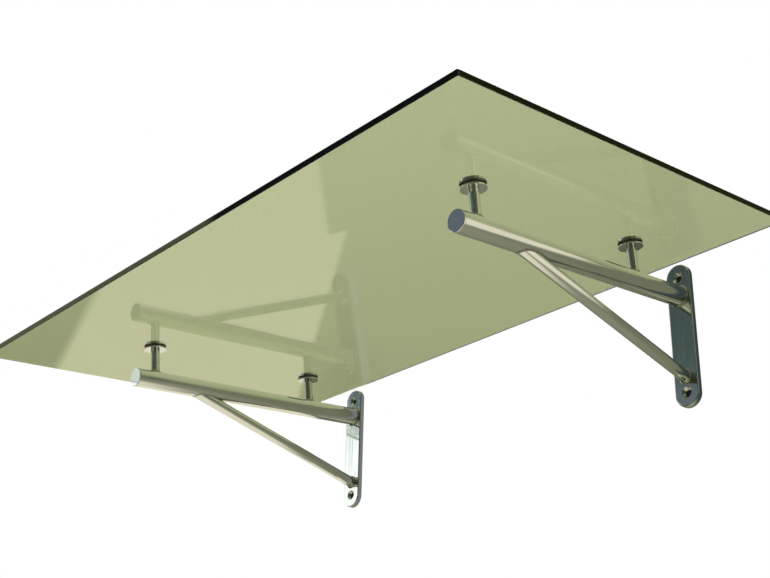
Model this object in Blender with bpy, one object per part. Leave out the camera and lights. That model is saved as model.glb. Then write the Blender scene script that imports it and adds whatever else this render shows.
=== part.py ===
"""Glass door canopy: one sloping pane, point fixed on two braced tube brackets.

Metres, +Z up. +Y goes into the wall, so the canopy reaches out along -Y. The origin lies on the wall,
midway between the brackets, level with the arm axes where they meet the wall plates.
"""
import math

import bmesh
import bpy
import numpy as np
from mathutils import Vector

# Clearance between pieces that touch or fit into each other
GAP = 0.0003

# Layout
BRACKET_SPACING = 1.008
SLOPE = math.radians(6.5)

# Glass pane, lying square to its posts
GLASS_WIDTH = 1.500
GLASS_DEPTH = 0.900
GLASS_THICKNESS = 0.012
GLASS_OVER_ARM = 0.0776         # underside above the arm axis
GLASS_PAST_PLATE = 0.016        # reach behind the front of the wall plates
GLASS_CORNER_RADIUS = 0.003
GLASS_CORNER_STEPS = 4
GLASS_EDGE_CHAMFER = 0.001
GLASS_HOLE_RADIUS = 0.007

# Arm tube and its end cap
ARM_RADIUS = 0.0212
ARM_WALL = 0.002
ARM_LENGTH = 0.648              # from the wall plate to the outer face of the end cap
CAP_THICKNESS = 0.004
CAP_EDGE_RADIUS = 0.0015
CAP_SPIGOT_LENGTH = 0.010
CAP_SPIGOT_WALL = 0.003

# Brace tube, from the wall plate up to the underside of the arm
BRACE_RADIUS = 0.0125
BRACE_WALL = 0.002
BRACE_TO_ARM_END = 0.135        # where the brace axis crosses the arm axis, back from the cap's face

# Weld fillets where the tubes and posts meet
WELD_LEG = 0.003
WELD_WAIST = 0.36               # 0.5 would be a flat fillet, less is hollow

# Wall plate with two countersunk screw holes
PLATE_THICKNESS = 0.012
PLATE_SIDE_MARGIN = 0.0033      # plate left beside the arm's weld
PLATE_EDGE_RADIUS = 0.0025
PLATE_EDGE_STEPS = 3
PLATE_END_STEPS = 18
SCREW_HOLE_SPACING = 0.250
SCREW_HOLE_TO_END = 0.030
SCREW_HOLE_RADIUS = 0.006
SCREW_COUNTERSINK_RADIUS = 0.0115
SCREW_HOLE_CLEARANCE = 0.006    # plate left between a countersink and the nearest weld

# Glass clamps, on posts that stand square on the arms
FRONT_POST_TO_ARM_END = 0.053
POST_SPACING = 0.450
POST_RADIUS = 0.010
POST_EDGE_CHAMFER = 0.0005
POST_BORE_SPARE = 0.003         # bore left below the bolt's end
DISC_RADIUS = 0.025
LOWER_DISC_THICKNESS = 0.003
UPPER_DISC_WEB = 0.001          # metal under the bolt head's cone
DISC_EDGE_RADIUS = 0.0008
GASKET_THICKNESS = 0.001
GASKET_INSET = 0.0008           # how far a gasket stays inside its disc's edge
BOLT_RADIUS = 0.004
BOLT_HEAD_RADIUS = 0.008
BOLT_GRIP = 0.020               # length inside the post
BOLT_END_CHAMFER = 0.001
SOCKET_ACROSS_FLATS = 0.005
SOCKET_DEPTH = 0.003

# Facets around the round pieces
ARM_STEPS = 40
BRACE_STEPS = 32
DISC_STEPS = 36
SMALL_STEPS = 24
EDGE_STEPS = 2
POST_FOOT_RINGS = 4

# Places that follow from the sizes above
UPPER_HOLE_Z = ARM_RADIUS + WELD_LEG + SCREW_HOLE_CLEARANCE + SCREW_COUNTERSINK_RADIUS
LOWER_HOLE_Z = UPPER_HOLE_Z - SCREW_HOLE_SPACING
BRACE_FOOT_Z = LOWER_HOLE_Z + SCREW_COUNTERSINK_RADIUS + SCREW_HOLE_CLEARANCE + WELD_LEG + BRACE_RADIUS
PLATE_RADIUS = ARM_RADIUS + WELD_LEG + PLATE_SIDE_MARGIN
UPPER_DISC_THICKNESS = BOLT_HEAD_RADIUS - BOLT_RADIUS + UPPER_DISC_WEB
LOWER_GASKET_Z = GLASS_OVER_ARM - GAP - GASKET_THICKNESS
LOWER_DISC_Z = LOWER_GASKET_Z - GAP - LOWER_DISC_THICKNESS
POST_TOP_Z = LOWER_DISC_Z - GAP
GLASS_TOP_Z = GLASS_OVER_ARM + GLASS_THICKNESS
UPPER_GASKET_Z = GLASS_TOP_Z + GAP
UPPER_DISC_Z = UPPER_GASKET_Z + GASKET_THICKNESS + GAP
BOLT_TOP_Z = UPPER_DISC_Z + UPPER_DISC_THICKNESS
SIDES = {"left": -BRACKET_SPACING / 2, "right": BRACKET_SPACING / 2}
POSTS = {
    "front": ARM_LENGTH - FRONT_POST_TO_ARM_END,
    "rear": ARM_LENGTH - FRONT_POST_TO_ARM_END - POST_SPACING,
}


def clear_scene():
    for item in list(bpy.data.objects):
        bpy.data.objects.remove(item, do_unlink=True)


def surface(name, colour, roughness, metallic=0.0, transmission=0.0):
    """A Principled BSDF material."""
    material = bpy.data.materials.new(name)
    material.use_nodes = True
    shader = material.node_tree.nodes["Principled BSDF"]
    shader.inputs["Base Color"].default_value = (*colour, 1.0)
    shader.inputs["Roughness"].default_value = roughness
    shader.inputs["Metallic"].default_value = metallic
    shader.inputs["Transmission Weight"].default_value = transmission
    return material


def make_surfaces():
    return {
        "glass": surface("tinted_glass", (0.42, 0.45, 0.27), 0.02, transmission=0.9),
        "steel": surface("polished_steel", (0.66, 0.66, 0.62), 0.12, metallic=1.0),
        "rubber": surface("black_rubber", (0.02, 0.02, 0.02), 0.7),
        "nylon": surface("clear_nylon", (0.80, 0.80, 0.76), 0.4),
    }


def circle(radius, steps):
    """Cosine and sine of a full turn, times the radius."""
    turn = np.arange(steps) * (2 * math.pi / steps)
    return radius * np.cos(turn), radius * np.sin(turn)


def points(x, y, z):
    """Rows of x, y, z, with single numbers repeated to the length of the rest."""
    return np.stack(np.broadcast_arrays(x, y, z), axis=1).astype(float)


def skin(name, rings, closed=False):
    """A mesh through a row of rings. A ring of one point is a pole, and a closed row is a hollow ring."""
    shape = bmesh.new()
    rows = [[shape.verts.new(point) for point in ring] for ring in rings]
    pairs = list(zip(rows, rows[1:]))
    if closed:
        pairs.append((rows[-1], rows[0]))
    for near, far in pairs:
        count = max(len(near), len(far))
        for i in range(count):
            j = (i + 1) % count
            corners = [near[i % len(near)], near[j % len(near)], far[j % len(far)], far[i % len(far)]]
            shape.faces.new(list(dict.fromkeys(corners)))
    return finish_mesh(name, shape)


def finish_mesh(name, shape):
    bmesh.ops.recalc_face_normals(shape, faces=shape.faces)
    mesh = bpy.data.meshes.new(name)
    shape.to_mesh(mesh)
    shape.free()
    return mesh


def turned(name, profile, steps, closed=False):
    """A turned shape about Z from (radius, height) points. A radius of 0 is a pole."""
    rings = []
    for radius, height in profile:
        count = steps if radius > 0 else 1
        x, y = circle(radius, count)
        rings.append(points(x, y, height))
    return skin(name, rings, closed)


def rounded_corner(radius, height, size, start, steps):
    """Profile points of a quarter round about (radius, height), from the start angle upwards."""
    angles = [start + math.pi / 2 * i / steps for i in range(steps + 1)]
    return [(radius + size * math.cos(a), height + size * math.sin(a)) for a in angles]


def prism(name, outline, thickness):
    """An outline of (x, y) points, extruded from z = 0 upwards."""
    shape = bmesh.new()
    base = shape.faces.new([shape.verts.new((x, y, 0.0)) for x, y in outline])
    lifted = bmesh.ops.extrude_face_region(shape, geom=[base])
    raised = [item for item in lifted["geom"] if isinstance(item, bmesh.types.BMVert)]
    bmesh.ops.translate(shape, verts=raised, vec=Vector((0.0, 0.0, thickness)))
    return shape


def rim_edges(shape, heights):
    """The edges of a prism that lie wholly at one of the heights."""
    tolerance = 1e-6
    found = []
    for edge in shape.edges:
        low, high = sorted(vertex.co.z for vertex in edge.verts)
        if high - low < tolerance and any(abs(low - height) < tolerance for height in heights):
            found.append(edge)
    return found


def add_piece(name, mesh, material, parent=None, location=(0.0, 0.0, 0.0), rotation=(0.0, 0.0, 0.0)):
    """A named object with one material, shaded smooth apart from its sharp edges."""
    piece = bpy.data.objects.new(name, mesh)
    bpy.context.scene.collection.objects.link(piece)
    piece.parent = parent
    piece.location = location
    piece.rotation_euler = rotation
    mesh.materials.append(material)
    mesh.shade_smooth()
    mesh.set_sharp_from_angle(angle=math.radians(30))
    return piece


def add_empty(name, location, rotation=(0.0, 0.0, 0.0)):
    guide = bpy.data.objects.new(name, None)
    bpy.context.scene.collection.objects.link(guide)
    guide.location = location
    guide.rotation_euler = rotation
    return guide


def cut(piece, cutter):
    """Cuts a hidden shape out of a piece."""
    cutter.hide_render = True
    cutter.display_type = "WIRE"
    modifier = piece.modifiers.new("cut_" + cutter.name, "BOOLEAN")
    modifier.operation = "DIFFERENCE"
    modifier.object = cutter


def add_cutter(name, mesh, parent=None, location=(0.0, 0.0, 0.0), rotation=(0.0, 0.0, 0.0)):
    cutter = bpy.data.objects.new(name, mesh)
    bpy.context.scene.collection.objects.link(cutter)
    cutter.parent = parent
    cutter.location = location
    cutter.rotation_euler = rotation
    return cutter


# Directions and surfaces in the sloped frame, whose origin is where an arm axis meets its wall plate:
# the arm runs along -Y, the posts stand along +Z
def plate_normal():
    """The wall plate's outward normal."""
    return np.array([0.0, -math.cos(SLOPE), math.sin(SLOPE)])


def arm_underside(x):
    """Height of a surface GAP below the arm tube, at x beside the arm axis."""
    return -np.sqrt((ARM_RADIUS + GAP) ** 2 - x ** 2)


def brace_frame():
    """The brace axis's foot on the wall plate, its direction towards the arm, and its upward side."""
    foot = np.array([0.0, BRACE_FOOT_Z * math.sin(SLOPE), BRACE_FOOT_Z * math.cos(SLOPE)])
    top = np.array([0.0, BRACE_TO_ARM_END - ARM_LENGTH, 0.0])
    along = (top - foot) / np.linalg.norm(top - foot)
    upward = np.cross(along, np.array([1.0, 0.0, 0.0]))
    return foot, along, -upward


def rounded_rectangle(width, low_y, high_y, radius, steps):
    """Corner arcs of a rectangle centred on x = 0, anticlockwise from its low right corner."""
    corners = [
        (width / 2 - radius, low_y + radius, -math.pi / 2),
        (width / 2 - radius, high_y - radius, 0.0),
        (radius - width / 2, high_y - radius, math.pi / 2),
        (radius - width / 2, low_y + radius, math.pi),
    ]
    outline = []
    for x, y, start in corners:
        outline += rounded_corner(x, y, radius, start, steps)
    return outline


def build_glass(slope_frame, finish):
    """A drilled pane with small corner radii and chamfered edges."""
    outline = rounded_rectangle(
        GLASS_WIDTH, GLASS_PAST_PLATE - GLASS_DEPTH, GLASS_PAST_PLATE, GLASS_CORNER_RADIUS, GLASS_CORNER_STEPS)
    shape = prism("glass_pane", outline, GLASS_THICKNESS)
    edges = rim_edges(shape, (0.0, GLASS_THICKNESS))
    bmesh.ops.bevel(shape, geom=edges, offset=GLASS_EDGE_CHAMFER, segments=1, affect="EDGES")
    location = (0.0, 0.0, GLASS_OVER_ARM)
    pane = add_piece("glass_pane", finish_mesh("glass_pane", shape), finish, slope_frame, location)
    drill = [(0.0, -GLASS_THICKNESS), (GLASS_HOLE_RADIUS, -GLASS_THICKNESS),
             (GLASS_HOLE_RADIUS, 2 * GLASS_THICKNESS), (0.0, 2 * GLASS_THICKNESS)]
    for side, x in SIDES.items():
        for place, reach in POSTS.items():
            name = "drill_" + side + "_" + place
            cutter = add_cutter(name, turned(name, drill, SMALL_STEPS), slope_frame, (x, -reach, GLASS_OVER_ARM))
            cut(pane, cutter)


def build_wall_plate(side, x, finish):
    """A flat bar with round ends, softened front edges and two countersunk holes, its back on the wall."""
    name = side + "_wall_plate"
    lower = (0.0, LOWER_HOLE_Z - SCREW_HOLE_TO_END + PLATE_RADIUS)
    upper = (0.0, UPPER_HOLE_Z + SCREW_HOLE_TO_END - PLATE_RADIUS)
    outline = []
    for (centre_x, centre_y), start in ((upper, 0.0), (lower, math.pi)):
        for i in range(PLATE_END_STEPS + 1):
            angle = start + math.pi * i / PLATE_END_STEPS
            outline.append((centre_x + PLATE_RADIUS * math.cos(angle), centre_y + PLATE_RADIUS * math.sin(angle)))
    shape = prism(name, outline, PLATE_THICKNESS)
    edges = rim_edges(shape, (PLATE_THICKNESS,))
    bmesh.ops.bevel(
        shape, geom=edges, offset=PLATE_EDGE_RADIUS, segments=PLATE_EDGE_STEPS, profile=0.5, affect="EDGES")
    upright = (math.pi / 2, 0.0, 0.0)
    plate = add_piece(name, finish_mesh(name, shape), finish, None, (x, 0.0, 0.0), upright)
    sink_depth = SCREW_COUNTERSINK_RADIUS - SCREW_HOLE_RADIUS
    past = PLATE_THICKNESS / 2
    drill = [(0.0, -past), (SCREW_HOLE_RADIUS, -past), (SCREW_HOLE_RADIUS, PLATE_THICKNESS - sink_depth),
             (SCREW_COUNTERSINK_RADIUS + past, PLATE_THICKNESS + past), (0.0, PLATE_THICKNESS + past)]
    for place, z in (("upper", UPPER_HOLE_Z), ("lower", LOWER_HOLE_Z)):
        cutter_name = "drill_" + side + "_" + place + "_screw"
        cutter = add_cutter(
            cutter_name, turned(cutter_name, drill, SMALL_STEPS), None, (x, 0.0, z), upright)
        cut(plate, cutter)


def arm_ring(radius):
    """Ring of an arm-parallel cylinder where it meets the wall plate, GAP off the plate."""
    x, z = circle(radius, ARM_STEPS)
    return points(x, z * math.tan(SLOPE) - GAP / math.cos(SLOPE), z)


def build_arm(side, frame, finish):
    """The arm tube, cut to the wall plate, and the plug that closes its front end."""
    tube_end = CAP_THICKNESS + GAP - ARM_LENGTH
    inner = ARM_RADIUS - ARM_WALL
    rings = [arm_ring(ARM_RADIUS)]
    for radius in (ARM_RADIUS, inner):
        x, z = circle(radius, ARM_STEPS)
        rings.append(points(x, tube_end, z))
    rings.append(arm_ring(inner))
    add_piece(side + "_arm_tube", skin(side + "_arm_tube", rings, closed=True), finish, frame)

    spigot = inner - GAP
    back = CAP_THICKNESS + CAP_SPIGOT_LENGTH
    profile = [(0.0, CAP_THICKNESS), (spigot - CAP_SPIGOT_WALL, CAP_THICKNESS), (spigot - CAP_SPIGOT_WALL, back),
               (spigot, back), (spigot, CAP_THICKNESS), (ARM_RADIUS, CAP_THICKNESS)]
    corner = rounded_corner(ARM_RADIUS - CAP_EDGE_RADIUS, -CAP_EDGE_RADIUS, CAP_EDGE_RADIUS, 0.0, EDGE_STEPS + 1)
    profile += [(radius, -height) for radius, height in corner]
    profile.append((0.0, 0.0))
    mesh = turned(side + "_arm_end_cap", profile, ARM_STEPS)
    inwards = (-math.pi / 2, 0.0, 0.0)
    add_piece(side + "_arm_end_cap", mesh, finish, frame, (0.0, -ARM_LENGTH, 0.0), inwards)


def brace_rings(radius):
    """Rings of a brace-parallel cylinder at the wall plate and at the arm, each GAP off, with its radii."""
    foot, along, upward = brace_frame()
    x, rise = circle(radius, BRACE_STEPS)
    offset = points(x, rise * upward[1], rise * upward[2])
    to_plate = (GAP - offset @ plate_normal()) / (along @ plate_normal())
    to_arm = (arm_underside(x) - foot[2] - offset[:, 2]) / along[2]
    low = foot + offset + to_plate[:, None] * along
    high = foot + offset + to_arm[:, None] * along
    return low, high, offset / radius


def build_brace(side, frame, finish):
    """The brace tube, cut flat to the wall plate and coped to the arm's underside."""
    outer_low, outer_high, _ = brace_rings(BRACE_RADIUS)
    inner_low, inner_high, _ = brace_rings(BRACE_RADIUS - BRACE_WALL)
    rings = [outer_low, outer_high, inner_high, inner_low]
    add_piece(side + "_brace_tube", skin(side + "_brace_tube", rings, closed=True), finish, frame)


def bead(name, crease, along, radial, normal):
    """A hollow fillet in a closed crease: one leg runs along the piece, one out over what it stands on."""
    outward = radial - np.sum(radial * normal, axis=1, keepdims=True) * normal
    outward /= np.linalg.norm(outward, axis=1, keepdims=True)
    leg_up = WELD_LEG * along
    leg_out = WELD_LEG * outward
    waist = crease + WELD_WAIST * (leg_up + leg_out)
    return skin(name, [crease, crease + leg_up, waist, crease + leg_out], closed=True)


def arm_normals(crease):
    """The arm's outward normals at points beside it."""
    normal = crease * np.array([1.0, 0.0, 1.0])
    return normal / np.linalg.norm(normal, axis=1, keepdims=True)


def build_bracket_welds(side, frame, finish):
    """Fillets around the arm and the brace at the wall plate, and around the brace at the arm."""
    crease = arm_ring(ARM_RADIUS + GAP)
    along = points(0.0, -1.0, np.zeros(len(crease)))
    normal = np.tile(plate_normal(), (len(crease), 1))
    mesh = bead(side + "_arm_weld", crease, along, arm_normals(crease), normal)
    add_piece(side + "_arm_weld", mesh, finish, frame)

    low, high, radial = brace_rings(BRACE_RADIUS + GAP)
    direction = brace_frame()[1]
    normal = np.tile(plate_normal(), (len(low), 1))
    mesh = bead(side + "_brace_foot_weld", low, direction, radial, normal)
    add_piece(side + "_brace_foot_weld", mesh, finish, frame)
    mesh = bead(side + "_brace_top_weld", high, -direction, radial, arm_normals(high))
    add_piece(side + "_brace_top_weld", mesh, finish, frame)


def build_post(name, frame, location, finish):
    """A round post coped to the arm's top, bored from above for the bolt, with its weld."""
    rings = [points(0.0, 0.0, np.array([-arm_underside(0.0)]))]
    for i in range(1, POST_FOOT_RINGS + 1):
        x, y = circle(POST_RADIUS * i / POST_FOOT_RINGS, SMALL_STEPS)
        rings.append(points(x, y, -arm_underside(x)))
    bore = BOLT_RADIUS + GAP
    bore_bottom = POST_TOP_Z - BOLT_GRIP - POST_BORE_SPARE
    profile = [(POST_RADIUS, POST_TOP_Z - POST_EDGE_CHAMFER), (POST_RADIUS - POST_EDGE_CHAMFER, POST_TOP_Z),
               (bore, POST_TOP_Z), (bore, bore_bottom)]
    for radius, height in profile:
        x, y = circle(radius, SMALL_STEPS)
        rings.append(points(x, y, height))
    rings.append(points(0.0, 0.0, np.array([bore_bottom])))
    add_piece(name + "_post", skin(name + "_post", rings), finish, frame, location)

    x, y = circle(POST_RADIUS + GAP, SMALL_STEPS)
    crease = points(x, y, -arm_underside(x))
    along = points(0.0, 0.0, np.ones(len(crease)))
    radial = points(x, y, 0.0) / (POST_RADIUS + GAP)
    mesh = bead(name + "_post_weld", crease, along, radial, arm_normals(crease))
    add_piece(name + "_post_weld", mesh, finish, frame, location)


def disc_profile(thickness, bore_points):
    """Closed profile of a clamp disc with softened edges, resting on height 0."""
    size = DISC_EDGE_RADIUS
    lower = rounded_corner(DISC_RADIUS - size, size, size, -math.pi / 2, EDGE_STEPS)
    upper = rounded_corner(DISC_RADIUS - size, thickness - size, size, 0.0, EDGE_STEPS)
    return lower + upper + bore_points


def build_clamp(name, frame, x, reach, surfaces):
    """The pieces that hold the glass on one post, from the post's top to the bolt's head."""
    hole = BOLT_RADIUS + GAP
    profile = disc_profile(LOWER_DISC_THICKNESS, [(hole, LOWER_DISC_THICKNESS), (hole, 0.0)])
    mesh = turned(name + "_lower_disc", profile, DISC_STEPS, closed=True)
    add_piece(name + "_lower_disc", mesh, surfaces["steel"], frame, (x, -reach, LOWER_DISC_Z))

    cone_gap = GAP * math.sqrt(2)
    seat = [(BOLT_HEAD_RADIUS + cone_gap, UPPER_DISC_THICKNESS),
            (hole, UPPER_DISC_THICKNESS - (BOLT_HEAD_RADIUS + cone_gap - hole)), (hole, 0.0)]
    profile = disc_profile(UPPER_DISC_THICKNESS, seat)
    mesh = turned(name + "_upper_disc", profile, DISC_STEPS, closed=True)
    add_piece(name + "_upper_disc", mesh, surfaces["steel"], frame, (x, -reach, UPPER_DISC_Z))

    outer = DISC_RADIUS - GASKET_INSET
    gasket = [(hole, 0.0), (outer, 0.0), (outer, GASKET_THICKNESS), (hole, GASKET_THICKNESS)]
    for place, height in (("lower", LOWER_GASKET_Z), ("upper", UPPER_GASKET_Z)):
        piece = name + "_" + place + "_gasket"
        mesh = turned(piece, gasket, SMALL_STEPS, closed=True)
        add_piece(piece, mesh, surfaces["rubber"], frame, (x, -reach, height))

    sleeve_outer = GLASS_HOLE_RADIUS - GAP
    sleeve_length = GLASS_THICKNESS
    sleeve = [(hole, 0.0), (sleeve_outer, 0.0), (sleeve_outer, sleeve_length), (hole, sleeve_length)]
    mesh = turned(name + "_hole_sleeve", sleeve, SMALL_STEPS, closed=True)
    add_piece(name + "_hole_sleeve", mesh, surfaces["nylon"], frame, (x, -reach, GLASS_OVER_ARM))

    length = BOLT_TOP_Z - POST_TOP_Z + BOLT_GRIP
    cone_height = BOLT_HEAD_RADIUS - BOLT_RADIUS
    profile = [(0.0, -length), (BOLT_RADIUS - BOLT_END_CHAMFER, -length), (BOLT_RADIUS, BOLT_END_CHAMFER - length),
               (BOLT_RADIUS, -cone_height), (BOLT_HEAD_RADIUS, 0.0), (0.0, 0.0)]
    mesh = turned(name + "_clamp_bolt", profile, SMALL_STEPS)
    bolt = add_piece(name + "_clamp_bolt", mesh, surfaces["steel"], frame, (x, -reach, BOLT_TOP_Z))
    corner = SOCKET_ACROSS_FLATS / math.sqrt(3)
    socket = [(0.0, -SOCKET_DEPTH), (corner, -SOCKET_DEPTH), (corner, SOCKET_DEPTH), (0.0, SOCKET_DEPTH)]
    cutter_name = "socket_" + name
    cutter = add_cutter(cutter_name, turned(cutter_name, socket, 6), frame, (x, -reach, BOLT_TOP_Z))
    cut(bolt, cutter)


def main():
    clear_scene()
    surfaces = make_surfaces()
    slope_frame = add_empty("slope_frame", (0.0, -PLATE_THICKNESS, 0.0), (SLOPE, 0.0, 0.0))
    build_glass(slope_frame, surfaces["glass"])
    for side, x in SIDES.items():
        arm_frame = add_empty(side + "_arm_frame", (x, -PLATE_THICKNESS, 0.0), (SLOPE, 0.0, 0.0))
        build_wall_plate(side, x, surfaces["steel"])
        build_arm(side, arm_frame, surfaces["steel"])
        build_brace(side, arm_frame, surfaces["steel"])
        build_bracket_welds(side, arm_frame, surfaces["steel"])
        for place, reach in POSTS.items():
            name = side + "_" + place
            build_post(name, arm_frame, (0.0, -reach, 0.0), surfaces["steel"])
            build_clamp(name, slope_frame, x, reach, surfaces)


main()
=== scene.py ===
"""Looks of a glass door canopy: a tinted pane, point fixed on two polished, braced tube brackets.

Metres, +Z up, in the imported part's own frame. The wall plates' backs lie at y = 0, and the canopy reaches out
along -Y. Metal, rubber and nylon pieces are fine surfaces worked out with numpy. The pane keeps its CAD mesh.
"""
import math

import bmesh
import bpy
import numpy as np
from bpy.props import FloatProperty, FloatVectorProperty, PointerProperty
from mathutils import Euler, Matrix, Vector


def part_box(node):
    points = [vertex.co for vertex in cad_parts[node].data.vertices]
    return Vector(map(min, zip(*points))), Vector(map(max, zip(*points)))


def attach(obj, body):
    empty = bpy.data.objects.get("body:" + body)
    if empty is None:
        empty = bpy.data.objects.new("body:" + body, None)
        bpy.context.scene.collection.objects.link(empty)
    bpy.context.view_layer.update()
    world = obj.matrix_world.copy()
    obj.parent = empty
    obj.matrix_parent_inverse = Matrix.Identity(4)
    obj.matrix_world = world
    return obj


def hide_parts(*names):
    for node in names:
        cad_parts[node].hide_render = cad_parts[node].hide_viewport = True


bl_info = {
    "name": "Glass door canopy",
    "version": (1, 0, 0),
    "blender": (4, 5, 0),
    "location": "3D View > Sidebar > Canopy",
    "description": "Fine brackets, tinted glass and a plain studio for a packed door canopy",
    "category": "Object",
}

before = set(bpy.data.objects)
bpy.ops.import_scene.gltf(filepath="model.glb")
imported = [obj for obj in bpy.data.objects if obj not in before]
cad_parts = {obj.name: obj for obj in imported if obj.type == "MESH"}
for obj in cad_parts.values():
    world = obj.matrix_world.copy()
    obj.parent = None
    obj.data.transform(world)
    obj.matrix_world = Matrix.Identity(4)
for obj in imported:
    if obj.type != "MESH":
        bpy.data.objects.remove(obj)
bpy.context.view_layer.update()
BODY = "root"
PLATES = {side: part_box(side + "_wall_plate") for side in ("left", "right")}
SIDES = {side: (low.x + high.x) / 2 for side, (low, high) in PLATES.items()}
PLATE_FRONT = PLATES["left"][0].y
PLACES = ("front", "rear")
POLISH_MAP = "polish"

# Steps around and along the fine surfaces
ROUND_STEPS = 128
BOLT_STEPS = 132                # a multiple of 12, so that the socket's corners fall on columns
BEND_STEPS = 8
RIM_STEPS = 4
LENGTH_STEPS = 12
POST_FOOT_STEPS = 7
WELD_FACE_STEPS = 8
PLATE_END_STEPS = 48
PLATE_SIDE_STEPS = 24
PLATE_CUT_STEPS = 12
SHARP_FROM = math.radians(32)
SAME_POINT = 1e-7               # corners that lie closer are joined

# Small sizes, in metres
GAP = 0.0003                    # running clearance between pieces
SUPPORT = 0.0002                # row that keeps a flat face flat right up to its rounded edge
TUBE_EDGE = 0.0003
CAP_RIM = 0.0015
SPIGOT_WALL = 0.003
SPIGOT_LENGTH = 0.010
POST_EDGE = 0.0005
BORE_SPARE = 0.003              # bore left below the bolt's tip
DISC_EDGE = 0.0008
RING_EDGE = 0.00015
BOLT_TIP = 0.001
HEAD_EDGE = 0.0002
SOCKET_CONE = 0.0008

# The reflector board, a glowing sheet with painted light and painted shade that mirrors see
BOARD_REACH = 12.0              # from its middle to each side
BOARD_DROP = 4.0                # its middle under the canopy's origin
BOARD_Y = -0.0002               # just ahead of the plates' backs
# Behind each screw hole the board shows a dark disc of painted shade
HOLE_SHADE = 0.6                # radius of the dark behind a screw hole, in hole diameters

# Tones of the studio that mirrors see: the board's painted lit tone, its painted shade and a pale top panel
WHITE = (1.0, 1.0, 1.0, 1.0)
LIT_BOARD = (1.02, 0.95, 0.74)
SHADED_BOARD = (0.325, 0.325, 0.235), (0.225, 0.235, 0.155)     # low down and near the pane
TOP_PANEL = (1.10, 1.10, 1.05)


# Sizes and colours that a user may change

def number(name, description, default, **details):
    return FloatProperty(name=name, description=description, default=default, **details)


def metres(name, description, default):
    return number(name, description, default, unit="LENGTH")


def colour_setting(name, description, default):
    return FloatVectorProperty(
        name=name, description=description, default=default, subtype="COLOR", min=0.0, max=1.0)


class PaneSettings(bpy.types.PropertyGroup):
    height: metres(
        "Height over arms", "Underside of the glass above the arm axes, square to the slope", 0.0776)
    thickness: metres("Thickness", "Thickness of the glass", 0.012)
    hole_diameter: metres("Hole diameter", "Holes drilled in the glass for the clamps", 0.014)
    tint: colour_setting(
        "Tint", "Light that the glass body lets through, before its depth", (0.411, 0.472, 0.028))
    depth_of_tint: number("Depth of tint", "How fast the glass takes up light, per metre", 90.0, min=0.0)


class BracketSettings(bpy.types.PropertyGroup):
    slope: number(
        "Slope", "Fall of arms and glass from the wall plates outwards", math.radians(6.5), subtype="ANGLE")
    arm_diameter: metres("Arm diameter", "Outer diameter of an arm", 0.0424)
    arm_length: metres("Arm length", "From the wall plate to the end cap's face", 0.648)
    tube_wall: metres("Tube wall", "Wall of arms and braces", 0.002)
    cap_thickness: metres("Cap thickness", "Visible thickness of an end cap", 0.004)
    brace_diameter: metres("Brace diameter", "Outer diameter of a brace", 0.025)
    brace_to_end: metres(
        "Brace to arm end", "Where the brace axis crosses the arm axis, back from the cap", 0.135)
    weld_leg: metres("Weld leg", "Leg of each weld fillet", 0.003)
    weld_waist: number("Weld waist", "Depth of a fillet's hollow, 0.5 is flat", 0.36, min=0.1, max=0.5,
                       subtype="FACTOR")
    hole_spacing: metres("Screw hole spacing", "Between the two screw holes of a wall plate", 0.25)
    screw_diameter: metres("Screw hole", "Diameter of a screw hole", 0.012)
    countersink_diameter: metres("Countersink", "Diameter of a countersink at the plate's face", 0.023)
    plate_edge: metres("Plate edge", "Radius of a wall plate's front edge", 0.0025)
    hole_clearance: metres("Hole clearance", "Plate between a countersink and the nearest weld", 0.006)


class ClampSettings(bpy.types.PropertyGroup):
    front_to_end: metres("Front clamp to arm end", "Front clamp's axis back from the cap's face", 0.053)
    spacing: metres("Clamp spacing", "Between the clamps of one arm", 0.45)
    post_diameter: metres("Post diameter", "Diameter of a post", 0.02)
    disc_diameter: metres("Disc diameter", "Diameter of the clamp discs", 0.05)
    lower_disc: metres("Lower disc", "Thickness of the disc under the glass", 0.003)
    upper_disc: metres("Upper disc", "Thickness of the disc over the glass", 0.005)
    gasket: metres("Gasket", "Thickness of a gasket", 0.001)
    gasket_inset: metres("Gasket inset", "How far a gasket stays inside its disc", 0.0008)
    bolt_diameter: metres("Bolt diameter", "Diameter of a bolt", 0.008)
    head_diameter: metres("Bolt head", "Diameter of a countersunk bolt head", 0.016)
    bolt_grip: metres("Bolt grip", "Length of bolt inside the post", 0.02)
    socket_width: metres("Socket width", "Hexagon socket across its flats", 0.005)
    socket_depth: metres("Socket depth", "Depth of the hexagon socket", 0.003)


class FinishSettings(bpy.types.PropertyGroup):
    steel: colour_setting("Steel", "Colour of the polished stainless steel", (0.68, 0.70, 0.68))
    steel_roughness: number("Steel roughness", "Roughness of the polish", 0.07, min=0.0, max=1.0,
                            subtype="FACTOR")
    weld: colour_setting("Weld", "Colour of the dressed welds", (0.42, 0.43, 0.39))
    rubber: colour_setting("Rubber", "Colour of the gaskets", (0.08, 0.08, 0.068))
    nylon: colour_setting("Nylon", "Colour of the sleeves", (0.80, 0.80, 0.76))


class StageSettings(bpy.types.PropertyGroup):
    floor_height: metres("Floor height", "Height of the floor under the canopy's origin", -2.3)
    floor_size: metres("Floor size", "Width of the floor", 60.0)
    soft_light: number("Soft light", "Even light from all round", 0.85, min=0.0)
    lamp_power: number("Lamp power", "Power of the overhead soft box", 60.0, unit="POWER", min=0.0)


def settings(group):
    return getattr(bpy.context.scene, "canopy_" + group)


# Points and meshes

def rows_of(x, y, z):
    """An array of points from three arrays that broadcast to rows by columns."""
    return np.stack(np.broadcast_arrays(x, y, z), axis=-1).astype(float)


def turn(steps=ROUND_STEPS):
    """Angles of a full turn, with the first repeated at the end."""
    return np.linspace(0.0, 2 * math.pi, steps + 1)


def path_length(points):
    """The way along a row of points, 0 at the first."""
    return np.concatenate(([0.0], np.cumsum(np.linalg.norm(np.diff(points, axis=0), axis=1))))


def patch(points, across, along):
    """A grid of points with its polish map: across runs over the polishing lines, along runs with them."""
    return points, np.stack(np.broadcast_arrays(across, along), axis=-1).astype(float)


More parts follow.
